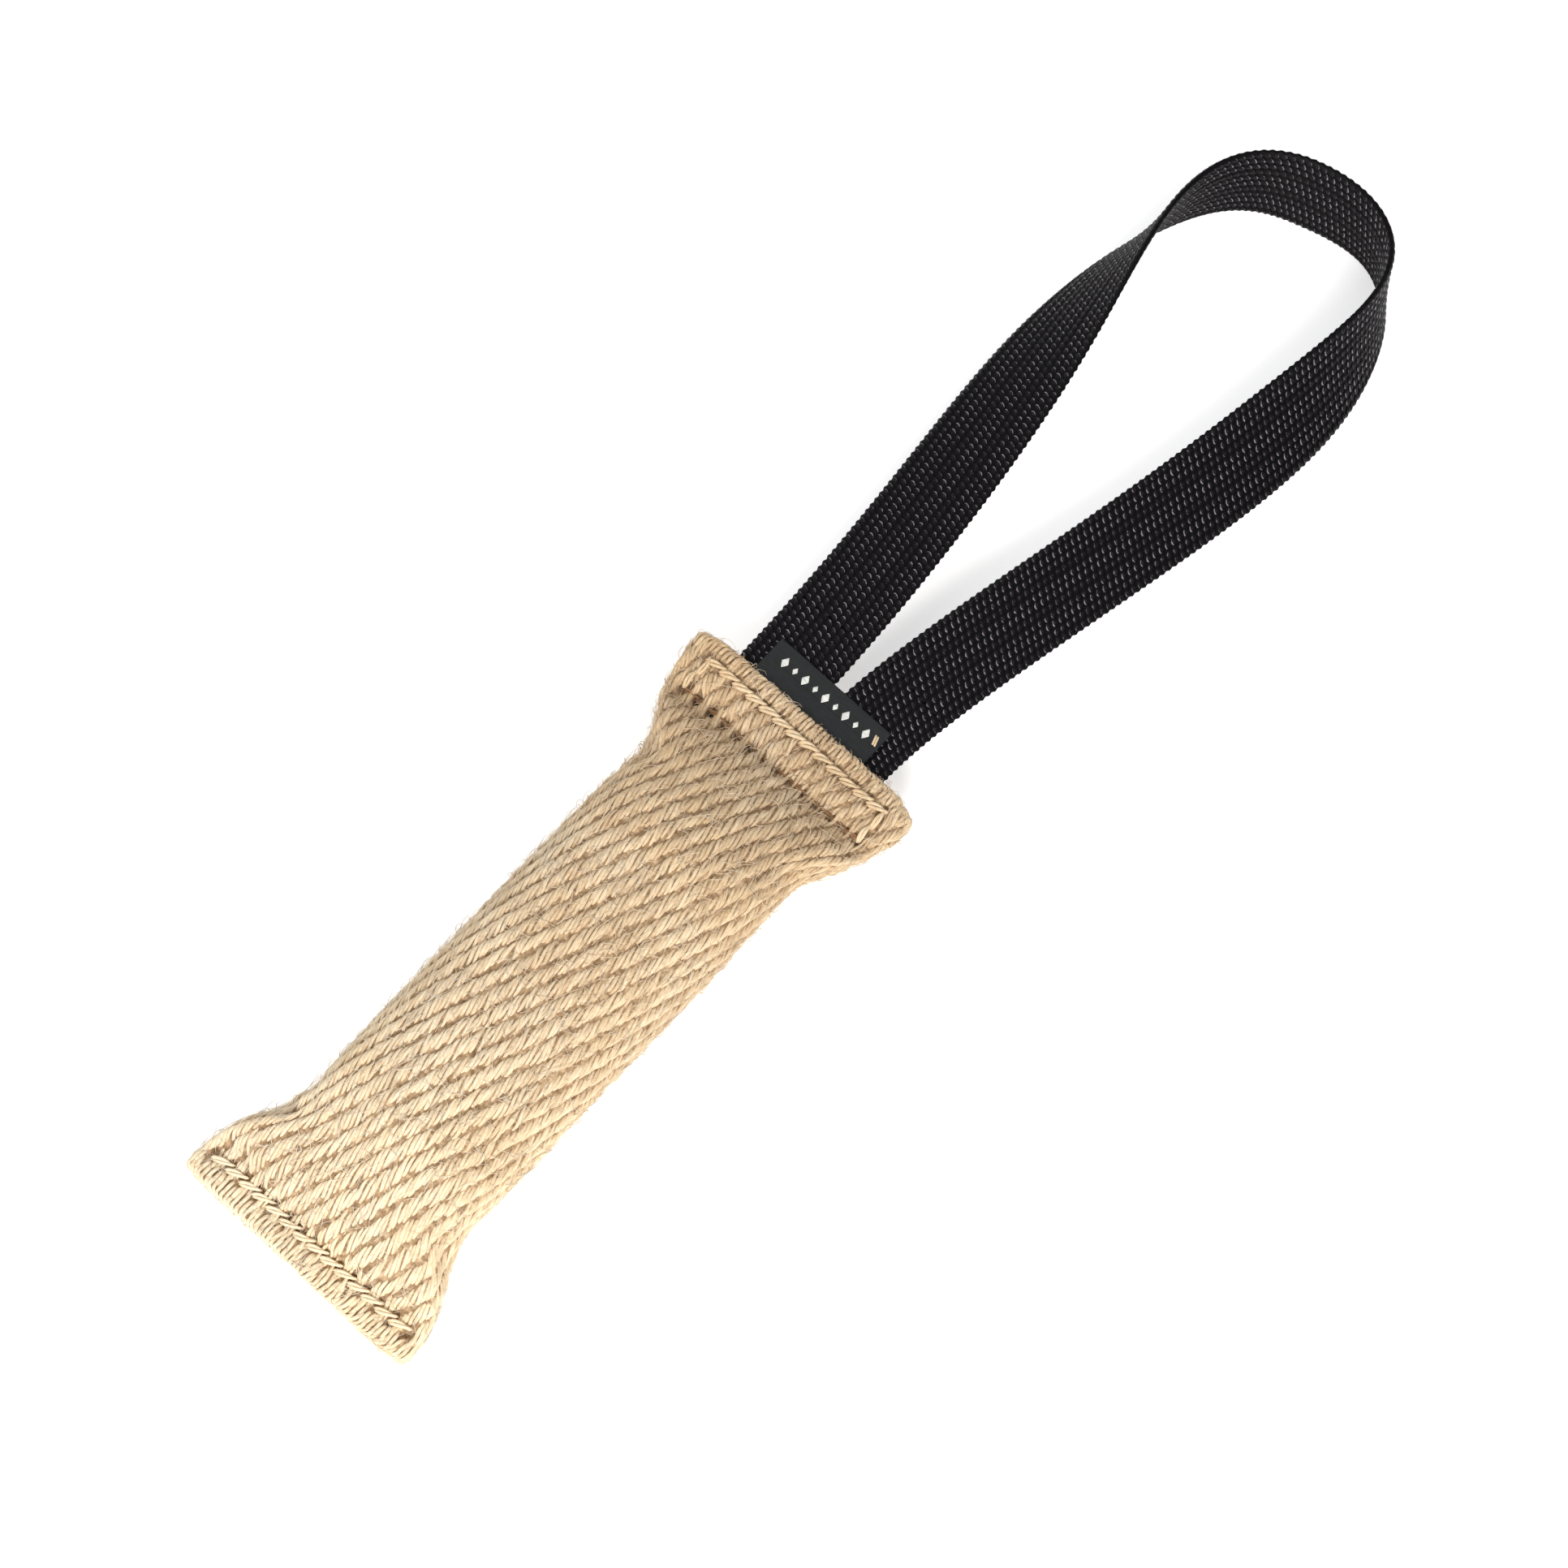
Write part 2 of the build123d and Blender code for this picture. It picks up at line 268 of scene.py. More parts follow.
def fibre_material(name, gloss, *colours):
    """Bast fibre, its colours from dark to light: streaks along each strand from the strand's
    UVs, a tone of its own per strand, and painted light that makes it paler towards the foot and
    darker towards the head."""
    material, shader, tree = new_material(name)
    calc = functools.partial(math_node, tree)
    uv = node(tree, "ShaderNodeUVMap", uv_map="fibre").outputs["UV"]
    tone = node(tree, "ShaderNodeAttribute", attribute_name="tone").outputs["Fac"]
    place = node(tree, "ShaderNodeTexCoord").outputs["Object"]
    streaks = noise(tree, stretched(tree, uv, (10, 0.7, 1)), 1.0, 5, 0.7)
    patches = noise(tree, place, 42, 2, 0.5)
    shade = calc("MULTIPLY_ADD", streaks, 1.05, -0.2)
    shade = calc("MULTIPLY_ADD", tone, 0.16, shade)
    shade = calc("MULTIPLY_ADD", patches, 0.3, shade)
    # Painted light: the colour is made paler towards the foot and darker towards the head, as
    # the key light falls on the pad
    along = node(tree, "ShaderNodeSeparateXYZ", {"Vector": place}).outputs["Y"]
    shade = calc("MULTIPLY_ADD", along, -1.3, shade)    # paler towards the foot
    stops = [(stop, srgb(*c)) for stop, c in zip((0.18, 0.46, 0.78), colours)]
    colour = ramp(tree, shade, stops)
    warm = noise(tree, place, 27, 2, 0.5)
    honey = ramp(tree, warm, [(0.35, (1.0, 0.985, 0.96)), (0.62, (1.0, 0.95, 0.87))])
    tree.links.new(mix(tree, 1.0, colour, honey, "MULTIPLY"), shader.inputs["Base Color"])
    shader.inputs["Roughness"].default_value = 0.62
    shader.inputs["Specular IOR Level"].default_value = gloss
    shader.inputs["Sheen Weight"].default_value = 0.18
    shader.inputs["Sheen Roughness"].default_value = 0.5
    relief = noise(tree, stretched(tree, uv, (13, 0.7, 1)), 1.0, 4, 0.65)
    add_bump(tree, shader, relief, 0.8, 0.25)
    return material


def gap_material():
    """The cloth deep between the ridges, where little light reaches, coloured darker than the
    strands as painted shade.
    """
    material, shader, tree = new_material("jute_ground_painted_shade")
    place = node(tree, "ShaderNodeTexCoord").outputs["Object"]
    shade = noise(tree, place, 600, 4, 0.6)
    # Painted shade: browns darker than the strands' own colours
    colour = ramp(tree, shade, [(0.3, srgb(118, 92, 66)), (0.5, srgb(166, 138, 106)),
                                (0.7, srgb(216, 188, 153))])
    tree.links.new(colour, shader.inputs["Base Color"])
    shader.inputs["Roughness"].default_value = 0.85
    shader.inputs["Specular IOR Level"].default_value = 0.2
    add_bump(tree, shader, noise(tree, place, 1500, 3), 0.6, 0.2)
    return material


def webbing_material():
    """Black filament yarn, with painted light in its colour: a painted highlight near one end of
    every float of the weave, and painted shade round its edge. The UVs are millimetres across
    and along the strap."""
    material, shader, tree = new_material("black_webbing")
    calc = functools.partial(math_node, tree)
    uv = node(tree, "ShaderNodeUVMap", uv_map="fibre").outputs["UV"]
    parts = node(tree, "ShaderNodeSeparateXYZ", {"Vector": uv}).outputs

    # The place within one float, -1 to 1 each way, staggered as in weave()
    column = calc("MULTIPLY_ADD", parts["X"], 1 / BEAD, 0.5)
    odd = calc("ABSOLUTE", calc("MODULO", calc("FLOOR", column), 2.0))
    dx = calc("MULTIPLY_ADD", calc("FRACT", column), 2.0, -1.0)
    beat = calc("MULTIPLY_ADD", parts["Y"], 1 / BEAT, 0.5)
    beat = calc("MULTIPLY_ADD", odd, 0.5, beat)
    beat = calc("MULTIPLY_ADD", dx, FLOAT_SLANT, beat)
    dy = calc("MULTIPLY_ADD", calc("FRACT", beat), 2.0, -1.0)

    # Painted light: each float is painted palest at its crown, with painted shade round its edge
    # and a curved painted highlight near one end
    square = calc("MULTIPLY", dx, dx)
    painted_crown_light = calc("SUBTRACT", 1.0, calc("ADD", square, calc("MULTIPLY", dy, dy)))
    lip = calc("MULTIPLY_ADD", square, 0.7, calc("SUBTRACT", dy, 0.55))
    painted_glint = calc("MULTIPLY_ADD", calc("ABSOLUTE", lip), -4.2, 1.0)
    painted_glint = calc("MULTIPLY", calc("MAXIMUM", painted_glint, 0.0), calc("SUBTRACT", 1.0, square))

    # The painted highlights come and go at random, and run in fainter and stronger bands along
    # the strap
    broken = calc("MULTIPLY_ADD", noise(tree, uv, 1.1, 4, 0.75), 5.0, -1.75)
    bands = calc("SINE", calc("MULTIPLY_ADD", parts["X"], 0.83, 0.9))
    broken = calc("MULTIPLY", calc("MAXIMUM", broken, 0.0),
                  calc("MULTIPLY_ADD", bands, 0.45, 0.85))
    painted_glint = calc("MULTIPLY", painted_glint, broken)

    streaks = noise(tree, stretched(tree, uv, (5, 1.3, 1)), 1.0, 3, 0.6)
    # The painted crown light, the streaks and the painted highlights make one tone, which the
    # ramp turns into the colour
    shade = calc("MULTIPLY", calc("MAXIMUM", painted_crown_light, 0.0), 0.4)
    shade = calc("MULTIPLY_ADD", streaks, 0.22, shade)
    shade = calc("MULTIPLY_ADD", painted_glint, 0.8, shade)
    colour = ramp(tree, shade, [(0.08, srgb(3, 2, 4)), (0.48, srgb(17, 14, 18)),
                                (1.0, srgb(148, 140, 147))])
    tree.links.new(colour, shader.inputs["Base Color"])
    shader.inputs["Roughness"].default_value = 0.45
    shader.inputs["Specular IOR Level"].default_value = 0.1
    add_bump(tree, shader, streaks, 0.6, 0.15)
    return material


def satin_material(name, dark, light):
    """A smooth woven ribbon, its fine weft across the strip."""
    material, shader, tree = new_material(name)
    place = node(tree, "ShaderNodeTexCoord").outputs["Object"]
    weft = noise(tree, stretched(tree, place, (500, 5200, 500)), 1.0, 2, 0.5)
    tree.links.new(ramp(tree, weft, [(0.35, dark), (0.65, light)]), shader.inputs["Base Color"])
    shader.inputs["Roughness"].default_value = 0.5
    shader.inputs["Specular IOR Level"].default_value = 0.4
    add_bump(tree, shader, weft, 0.35, 0.08)
    return material


# ---------------------------------------------------------------- mesh helpers

def make_piece(name, points, faces, material, uvs=None, tone=None, flat_faces=()):
    """points are in millimetres; uvs are one pair per face corner, tone one value per point."""
    mesh = bpy.data.meshes.new(name)
    mesh.from_pydata((np.asarray(points, float) * MM).tolist(), [], faces)
    if uvs is not None:
        layer = mesh.uv_layers.new(name="fibre")
        layer.data.foreach_set("uv", np.asarray(uvs, np.float32).ravel())
    if tone is not None:
        mesh.attributes.new("tone", "FLOAT", "POINT").data.foreach_set(
            "value", np.asarray(tone, np.float32))
    shaded = np.ones(len(mesh.polygons), bool)
    shaded[list(flat_faces)] = False
    mesh.polygons.foreach_set("use_smooth", shaded)
    mesh.materials.append(material)
    mesh.update()
    piece = bpy.data.objects.new(name, mesh)
    bpy.context.scene.collection.objects.link(piece)
    return piece


def grid_quads(rows, columns, wrap_rows=False, wrap_columns=False):
    """One quad per cell of a grid of points, as an array of four point numbers each."""
    i, j = np.meshgrid(np.arange(rows if wrap_rows else rows - 1),
                       np.arange(columns if wrap_columns else columns - 1), indexing="ij")
    below, right = (i + 1) % rows, (j + 1) % columns
    return np.stack([i * columns + j, i * columns + right, below * columns + right,
                     below * columns + j], axis=-1).reshape(-1, 4)


def make_tubes(name, material, *shape):
    """One piece of many closed spindles; shape is what tubes takes."""
    points, faces, uvs, tone = tubes(*shape)
    return make_piece(name, points, faces, material, uvs, tone)


def tubes(lines, normals, wide, high, sides, uv_step, tones):
    """Closed spindles. lines and normals are (count, steps, 3), wide and high (count, steps).
    Each end closes on one point. Returns points, faces, uvs and tones."""
    count, steps, _ = lines.shape
    along = np.gradient(lines, axis=1)
    along /= np.linalg.norm(along, axis=2, keepdims=True) + 1e-9
    across = np.cross(along, normals)
    across /= np.linalg.norm(across, axis=2, keepdims=True) + 1e-9
    raised = np.cross(across, along)
    turn = np.arange(sides) * 2 * math.pi / sides
    ring = (lines[:, :, None]
            + (wide[:, :, None] * np.cos(turn))[..., None] * across[:, :, None]
            + (high[:, :, None] * np.sin(turn))[..., None] * raised[:, :, None])
    body = ring.reshape(count, steps * sides, 3)
    tips = np.stack([lines[:, 0] - along[:, 0] * wide[:, :1] * 0.5,
                     lines[:, -1] + along[:, -1] * wide[:, -1:] * 0.5], axis=1)
    points = np.concatenate([body, tips], axis=1)
    each = steps * sides + 2
    quads = grid_quads(steps, sides, wrap_columns=True)
    i, j = np.divmod(np.arange(len(quads)), sides)
    quad_uv = np.stack([np.stack([j, j + 1, j + 1, j], axis=1) / sides,
                        np.stack([i, i, i + 1, i + 1], axis=1) * uv_step], axis=-1)
    fans, fan_uv = [], []
    for j in range(sides):
        k = (j + 1) % sides
        fans.append((each - 2, k, j))
        fan_uv.append(((0.5, -0.5), ((j + 1) / sides, 0), (j / sides, 0)))
        last = (steps - 1) * sides
        fans.append((each - 1, last + j, last + k))
        fan_uv.append(((0.5, steps - 0.5), (j / sides, steps - 1), ((j + 1) / sides, steps - 1)))
    faces, uvs = [], []
    shift = np.random.default_rng(5).random((count, 2)) * 40
    fans, fan_uv = np.array(fans), np.array(fan_uv, float) * (1, uv_step)
    for tube in range(count):
        faces += (quads + tube * each).tolist() + (fans + tube * each).tolist()
        uvs.append((quad_uv + shift[tube]).reshape(-1, 2))
        uvs.append((fan_uv + shift[tube]).reshape(-1, 2))
    return points.reshape(-1, 3), faces, np.concatenate(uvs), np.repeat(tones, each)


# ---------------------------------------------------------------- the pad's form

def pad_half_width(y):
    """The pad widens towards its flat sewn ends."""
    flare = 1 - smooth(FLARE_START, FLARE_START + FLARE_LENGTH, HALF - np.abs(y))
    return MID_WIDTH / 2 + (END_WIDTH - MID_WIDTH) / 2 * flare


def flat_length(y):
    """How much of the pad's end nearest to y lies flat."""
    return np.where(y > 0, HEAD_FLAT, FOOT_FLAT)


def pad_half_thickness(y):
    rise = np.clip((HALF - np.abs(y) - flat_length(y)) / PILLOW_RISE, 0, 1)
    return HEM_THICKNESS / 2 + (MID_THICKNESS - HEM_THICKNESS) / 2 * np.sin(rise * math.pi / 2)


def pad_centre_height(y):
    flat = flat_length(y)
    middle = MID_THICKNESS / 2 - REST_SINK
    return END_HEIGHT + (middle - END_HEIGHT) * smooth(flat, flat + PILLOW_RISE,
                                                       HALF - np.abs(y))


def pad_power(y):
    """The pad's section is a superellipse: nearly a box at the sewn ends, rounder in between."""
    flat = flat_length(y)
    return 6.0 - 3.7 * smooth(flat, flat + 22, HALF - np.abs(y))


def cloth_ring(y_form, y, half_z, draw, count):
    """One round of the cloth tube, evenly spaced along the cloth from the middle of the back."""
    turn = np.linspace(0, 2 * math.pi, 721) - math.pi / 2
    power = 2 / pad_power(y_form)
    half_x = pad_half_width(y_form) - draw
    x = half_x * np.sign(np.cos(turn)) * np.abs(np.cos(turn)) ** power
    z = half_z * np.sign(np.sin(turn)) * np.abs(np.sin(turn)) ** power
    length = np.concatenate([[0], np.cumsum(np.hypot(np.diff(x), np.diff(z)))])
    at = np.linspace(0, length[-1], count + 1)[:-1]
    points = np.zeros((count, 3))
    points[:, 0] = -np.interp(at, length, x)
    points[:, 1] = y
    points[:, 2] = pad_centre_height(y_form) + np.interp(at, length, z)
    return points


def cloth_rows(step):
    """Rows of the cloth from fold to fold: (cloth distance, form y, y, half height, draw)."""
    straight = HALF - FOLD_R
    rows = [(t, t, t, float(pad_half_thickness(t)), 0.0)
            for t in np.linspace(-straight, straight, int(2 * straight / step) + 1)]
    fold = []
    for turn in np.linspace(0, math.pi, 9)[1:]:
        y = straight + FOLD_R * math.sin(turn)
        top = HEM_THICKNESS / 2
        drop = (top - CREASE_HALF) / 2 * (1 - math.cos(turn))
        fold.append((straight + FOLD_R * turn, y, top - drop, drop * 0.8))
    fold.append((straight + FOLD_R * math.pi + 3, HALF - CREASE_IN, CREASE_HALF * 0.6, 3.4))
    for distance, y, half_z, draw in fold:
        rows.append((distance, min(y, HALF), y, half_z, draw))
        rows.insert(0, (-distance, -min(y, HALF), -y, half_z, draw))
    return rows


def tube_faces(rows, around):
    """Quads of the tube and of the two closed ends, each bridging mirrored points."""
    side = grid_quads(rows, around, wrap_columns=True)
    ends = []
    for start, flip in ((0, True), ((rows - 1) * around, False)):
        for a in range(around // 2):
            quad = [start + a, start + a + 1, start + (around - a - 1) % around,
                    start + (around - a) % around]
            quad = list(dict.fromkeys(quad))
            ends.append(quad[::-1] if flip else quad)
    return side.tolist() + ends


def cubic(values, at, wrap):
    """Catmull-Rom interpolation along the first axis at fractional places."""
    base = np.floor(at).astype(int)
    t = (at - base).reshape(-1, *[1] * (values.ndim - 1))
    n = len(values)
    picks = [(base + k) % n if wrap else np.clip(base + k, 0, n - 1) for k in (-1, 0, 1, 2)]
    a, b, c, d = (values[p] for p in picks)
    return b + 0.5 * t * (c - a + t * (2 * a - 5 * b + 4 * c - d + t * (3 * (b - c) + d - a)))


def inflate_cloth():
    """Cloth simulation: the sewn tube is blown up by its stuffing while its hems are held.
    Returns how far each point of a coarse tube moves, in millimetres."""
    rows = cloth_rows(CAGE_STEP)
    points = np.concatenate([cloth_ring(f, y, h, d, CAGE_AROUND) for _, f, y, h, d in rows])
    mesh = bpy.data.meshes.new("inflated")
    mesh.from_pydata((points * MM * CAGE_SCALE).tolist(), [], tube_faces(len(rows), CAGE_AROUND))
    pad = bpy.data.objects.new("inflated", mesh)
    bpy.context.scene.collection.objects.link(pad)
    held = pad.vertex_groups.new(name="held")
    for index, (place, height) in enumerate(points[:, 1:]):
        inner = HELD_FROM["head" if place > 0 else "foot"]
        hem = float(smooth(inner - 5, inner + 1, abs(place)))
        rest = 1 - float(smooth(0.4, 3.0, height))
        held.add([index], max(hem, rest), "REPLACE")
    cloth = pad.modifiers.new("cloth", "CLOTH")
    cloth.settings.vertex_group_mass = "held"
    cloth.settings.quality = 8
    cloth.settings.mass = 0.4
    cloth.settings.tension_stiffness = cloth.settings.compression_stiffness = 40
    cloth.settings.bending_stiffness = 3
    cloth.settings.use_pressure = True
    cloth.settings.uniform_pressure_force = 5
    cloth.settings.shrink_min = -0.03
    cloth.settings.effector_weights.gravity = 0
    cloth.collision_settings.use_collision = False
    scene = bpy.context.scene
    for frame_number in range(1, CAGE_FRAMES + 1):
        scene.frame_set(frame_number)
    moved = pad.evaluated_get(bpy.context.evaluated_depsgraph_get()).data
    out = np.zeros(len(points) * 3)
    moved.vertices.foreach_get("co", out)
    scene.frame_set(1)
    bpy.data.objects.remove(pad)
    delta = out.reshape(-1, 3) / MM / CAGE_SCALE - points
    size = np.linalg.norm(delta, axis=1, keepdims=True)
    delta *= np.minimum(1, MOVE_CAP / np.maximum(size, 1e-6))
    print("cloth moved at most", round(float(size.max()), 2), "mm")
    return delta.reshape(len(rows), CAGE_AROUND, 3), rows


class Cloth:
    """The outer surface of the jute tube, sampled finely, with its outward normals."""

    AROUND, STEP = 320, 0.7

    def __init__(self):
        delta, cage = inflate_cloth()
        rows = cloth_rows(self.STEP)
        grid = np.stack([cloth_ring(f, y, h, d, self.AROUND) for _, f, y, h, d in rows])
        self.t = np.array([r[0] for r in rows])
        at = np.interp(self.t, [r[0] for r in cage], np.arange(len(cage)))
        delta = cubic(delta, at, False)
        delta = cubic(delta.transpose(1, 0, 2),
                      np.arange(self.AROUND) * CAGE_AROUND / self.AROUND, True)
        self.grid = self.round_corners(grid + delta.transpose(1, 0, 2))
        self.s = (np.arange(self.AROUND) / self.AROUND - 0.5) * GIRTH
        self.normals = self.find_normals(self.grid)
        self.grid = self.grid + self.normals * self.sewing()[..., None]
        self.grid[..., 2] = np.maximum(self.grid[..., 2], 0)
        self.normals = self.find_normals(self.grid)

    @staticmethod
    def round_corners(grid):
        """The sewn ends' corners are drawn back towards the pad, most where the strap pulls."""
        x, y = grid[..., 0], grid[..., 1]
        pull = np.where(y < 0, 0.9, np.where(x > 0, 2.6, 1.5))
        corner = smooth(27, 40, np.abs(x)) ** 2 * smooth(84, 100, np.abs(y))
        grid[..., 1] = y - np.sign(y) * pull * corner
        return grid

    @staticmethod
    def find_normals(grid):
        """Unit normals of a closed round of rows, from the points on either side."""
        du = np.roll(grid, -1, axis=1) - np.roll(grid, 1, axis=1)
        dv = np.gradient(grid, axis=0)
        normal = np.cross(du, dv)
        normal /= np.linalg.norm(normal, axis=2, keepdims=True) + 1e-9
        return normal

    def sewing(self):
        """How deep the stitch rows draw the cloth in, with puckers at every needle hole."""
        x, y = self.grid[..., 0], self.grid[..., 1]
        depth = np.zeros(x.shape)
        for row_y, reach, pull, width, hole in SEAMS:
            inside = 1 - smooth(reach, reach + 3, np.abs(x))
            depth -= pull * inside * np.exp(-((y - row_y) / width) ** 2)
            shift = 0.5 if row_y > 0 else 0     # the head has an odd number of stitches
            pucker = 0.5 + 0.5 * np.cos(2 * math.pi * (x / STITCH + shift))
            depth -= 0.35 * inside * pucker * np.exp(-np.abs(y - row_y) / 2.4)
            depth -= hole * inside * pucker ** 5 * np.exp(-((y - row_y) / 1.2) ** 2)
        for side in (-1, 1):
            within = (smooth(HEAD_INNER_Y - 2, HEAD_INNER_Y + 1, y)
                      * (1 - smooth(HEAD_OUTER_Y - 1, HEAD_OUTER_Y + 2, y)))
            depth -= 0.6 * within * np.exp(-((x - side * HEAD_END_X) / 1.3) ** 2)
        depth -= 1.2 * np.exp(-((np.abs(self.s)[None, :] - GIRTH / 2) / 1.6) ** 2)
        return depth

    def at(self, s, t):
        """Points and normals of the cloth at cloth coordinates: s round the tube, t along it."""
        column = (s / GIRTH + 0.5) * self.AROUND
        row = np.interp(t, self.t, np.arange(len(self.t)))
        i = np.clip(row.astype(int), 0, len(self.t) - 2)
        j = np.floor(column).astype(int)
        fi, fj = (row - i)[..., None], (column - j)[..., None]
        a, b = j % self.AROUND, (j + 1) % self.AROUND
        found = []
        for field in (self.grid, self.normals):
            found.append((field[i, a] * (1 - fi) + field[i + 1, a] * fi) * (1 - fj)
                         + (field[i, b] * (1 - fi) + field[i + 1, b] * fi) * fj)
        normal = found[1] / (np.linalg.norm(found[1], axis=-1, keepdims=True) + 1e-9)
        return found[0], normal


def ridge_height(s, t):
    """0 in the gap between two twill ridges, 1 along a ridge's crest."""
    across = (s * math.cos(RIDGE_ANGLE) - t * math.sin(RIDGE_ANGLE)) / RIDGE_PITCH
    x = 2 * np.abs(across - np.round(across))
    return np.sqrt(np.maximum(0, 1 - 0.95 * x ** 2))


def build_cover(cloth):
    """The closed cloth under the strands: one tube with folded lips, closed at both ends."""
    s, t = cloth.s[None, :], cloth.t[:, None]
    depth = BASE_DEPTH - RIDGE_RELIEF * ridge_height(s, t)
    depth = depth * np.clip((HALF + 3 - np.abs(t)) / 2, 0, 1)
    grid = cloth.grid - cloth.normals * depth[..., None]
    grid[..., 2] = np.maximum(grid[..., 2], 0.25)
    grid = grid[:, ::2]     # the strands hide most of it, so every second column is enough
    return make_piece("jute_cover_cloth", grid.reshape(-1, 3), tube_faces(*grid.shape[:2]),
                      gap_material())


def ridge_spots():
    """Where each strand of the twill's ridges lies on the cloth: (s, t)."""
    cos_a, sin_a = math.cos(RIDGE_ANGLE), math.sin(RIDGE_ANGLE)
    lines = int((GIRTH / 2 * cos_a + HALF * sin_a) / RIDGE_PITCH) + 2
    spots = []
    for ridge in range(-lines, lines + 1):
        p = ridge * RIDGE_PITCH
        for q in np.arange(-220, 220, STRAND_STEP):
            q = q + (ridge % 3) * STRAND_STEP / 3
            s, t = p * cos_a + q * sin_a, -p * sin_a + q * cos_a
            if abs(s) < GIRTH / 2 - 1.3 and HEM_FROM["foot"] < t < HEM_FROM["head"]:
                spots.append((s, t))
    return np.array(spots)


def hem_spots():
    """Where the strands that run straight over each fold lie: (s, t)."""
    spots = []
    for k, s in enumerate(np.arange(-GIRTH / 2 + 1, GIRTH / 2 - 1, HEM_STEP)):
        for place in HEM_ROUNDS:
            spots += [(s, -place - 0.8 * (k % 2)), (s, place + 1.4 + 0.8 * (k % 2))]
    return np.array(spots)


def build_strands(cloth, material):
    """The twill's yarns: every ridge is a rope of short slanted strands that dive at its sides,
    and over the folds the strands run straight across."""
    ridges, hems = ridge_spots(), hem_spots()
    spots = np.concatenate([ridges, hems])
    n, steps = len(spots), 9
    on_hem = (np.arange(n) >= len(ridges))[:, None]
    spots = spots + rng.normal(0, 0.18, spots.shape)
    # a runs along each strand; dp is its place across the ridge and dq along the ridge
    a = np.linspace(-1, 1, steps)[None, :]
    twist = rng.normal(0, 0.09, (n, 1))
    length = np.where(on_hem, HEM_REACH, STRAND_REACH) * rng.normal(1, 0.09, (n, 1))
    cross = np.where(on_hem, 0.2, STRAND_CROSS) * rng.normal(1, 0.08, (n, 1))
    angle = np.where(on_hem, 0.15, RIDGE_ANGLE)
    dp = -cross * np.sin(a * math.pi / 2) - twist * a * length
    dq = length * a
    s = spots[:, :1] + dp * np.cos(angle) + dq * np.sin(angle)
    t = spots[:, 1:] - dp * np.sin(angle) + dq * np.cos(angle)
    s = np.clip(s, -GIRTH / 2 + 0.2, GIRTH / 2 - 0.2)
    radius = STRAND_R * rng.normal(1, 0.08, (n, 1)) * np.sqrt(1 - 0.72 * a ** 2)
    dive = np.where(on_hem, 0.5, 1.15)
    drop = dive * (1 - np.cos(a * math.pi / 2)) + rng.normal(0, 0.1, (n, 1))
    points, normals = cloth.at(s, t)
    high = radius * 0.78
    points = points - normals * (drop + STRAND_R * 0.72)[..., None]
    points[..., 2] = np.maximum(points[..., 2], high)
    tones = rng.random(n)
    top, head = np.abs(spots[:, 0]) < GIRTH / 4, spots[:, 1] > 0
    made = []
    for name, chosen in (("top_head", top & head), ("top_foot", top & ~head),
                         ("back_head", ~top & head), ("back_foot", ~top & ~head)):
        made.append(make_tubes(f"jute_strands_{name}", material, points[chosen],
                               normals[chosen], radius[chosen], high[chosen], 7, 1.0,
                               tones[chosen]))
    return made


def build_fuzz(cloth, material):
    """Loose fibres that stand off the cloth all over."""
    count, steps = FUZZ_COUNT, 6
    s = rng.uniform(-GIRTH / 2, GIRTH / 2, (count, 1))
    t = rng.uniform(-HALF - 2, HALF + 2, (count, 1))
    lean = rng.normal(0.1, 0.9, (count, 1))
    length = rng.gamma(3.0, 1.9, (count, 1)).clip(2, 16)
    curl = rng.normal(0, 0.35, (count, 1))
    a = np.linspace(0, 1, steps)[None, :]
    heading = lean + curl * a * 2
    ds = np.cumsum(np.sin(heading), axis=1) * length / steps
    dt = np.cumsum(np.cos(heading), axis=1) * length / steps
    lift = rng.gamma(2.0, 0.34, (count, 1)).clip(0.05, 2.2)
    points, normals = cloth.at(np.clip(s + ds, -GIRTH / 2, GIRTH / 2), t + dt)
    rise = lift * np.sin(a * math.pi * rng.uniform(0.55, 1.0, (count, 1))) - 0.25 * (1 - a)
    points = points + normals * rise[..., None]
    points[..., 2] = np.maximum(points[..., 2], 0.1)
    radius = rng.uniform(0.06, 0.13, (count, 1)) * (1 - 0.6 * a)
    tones = 0.55 + 0.45 * rng.random(count)
    return make_tubes("jute_fuzz", material, points, normals, radius, radius, 3, 0.4, tones)


# ---------------------------------------------------------------- stitching

def stitch_lines(starts, ends, side, rise, slant):
    """Centre lines of stitches: out of one hole, over the cloth and down the next."""
    steps = 13
    a = np.linspace(0, 1, steps)[None, :, None]
    starts, ends = np.array(starts, float)[:, None], np.array(ends, float)[:, None]
    along = ends - starts
    square = np.stack([-along[..., 1], along[..., 0]], axis=-1)
    square /= np.linalg.norm(square, axis=-1, keepdims=True)
    reach = along * (1 + 2 * STITCH_OVERLAP)
    plan = starts - STITCH_OVERLAP * along + a * reach + square * slant * (a - 0.5)
    arch = (np.maximum(np.sin(np.pi * a), 0) ** 0.7)[..., 0]
    surface = END_HEIGHT + side * (HEM_THICKNESS / 2)
    height = surface + side * (rise - 1.5 + 1.5 * arch)
    lines = np.concatenate([plan, height[..., None] + 0 * plan[..., :1]], axis=-1)
    normals = np.zeros_like(lines)
    normals[..., 2] = side
    return lines, normals


